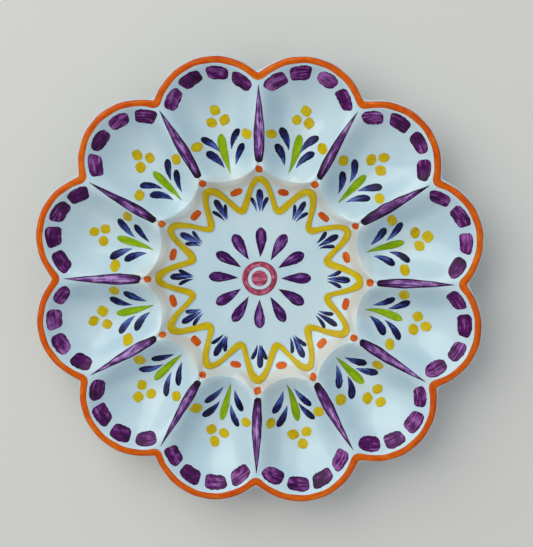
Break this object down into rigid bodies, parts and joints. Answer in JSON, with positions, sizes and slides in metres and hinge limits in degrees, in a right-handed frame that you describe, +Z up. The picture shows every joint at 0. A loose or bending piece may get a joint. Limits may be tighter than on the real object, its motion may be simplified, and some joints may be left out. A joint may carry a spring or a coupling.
{
  "type": "deviled egg platter",
  "caption": "Round scalloped serving plate of glazed earthenware, with a ring of egg wells round a shallow dish and a foot ring underneath.",
  "frame": {"origin": "on the table, under the middle of the platter, where the foot ring stands", "axes": "+Z up along the axis through the middle of the dish; +X along a ridge between two wells"},
  "size_m": [0.3022, 0.3022, 0.0349],
  "materials": {
    "white_glaze": "white tin glaze, glossy",
    "bare_clay": "unglazed fired clay, matt",
    "orange_glaze": "orange brushed glaze, glossy",
    "purple_glaze": "purple brushed glaze, glossy",
    "green_glaze": "lime green brushed glaze, glossy",
    "blue_glaze": "dark blue brushed glaze, glossy",
    "yellow_glaze": "yellow brushed glaze, glossy",
    "rose_glaze": "rose brushed glaze, glossy"
  },
  "bodies": {
    "root": {"platter_body": "white_glaze", "foot_ring": "bare_clay", "rim_band": "orange_glaze", "rim_dashes": "purple_glaze", "ridge_stripes": "purple_glaze", "well_stems": "green_glaze", "well_leaves": "blue_glaze", "well_berries": "yellow_glaze", "wavy_vine": "yellow_glaze", "bud_strokes": "blue_glaze", "orange_dots": "orange_glaze", "rosette_petals": "purple_glaze", "rosette_spot": "rose_glaze"}
  },
  "joints": []
}
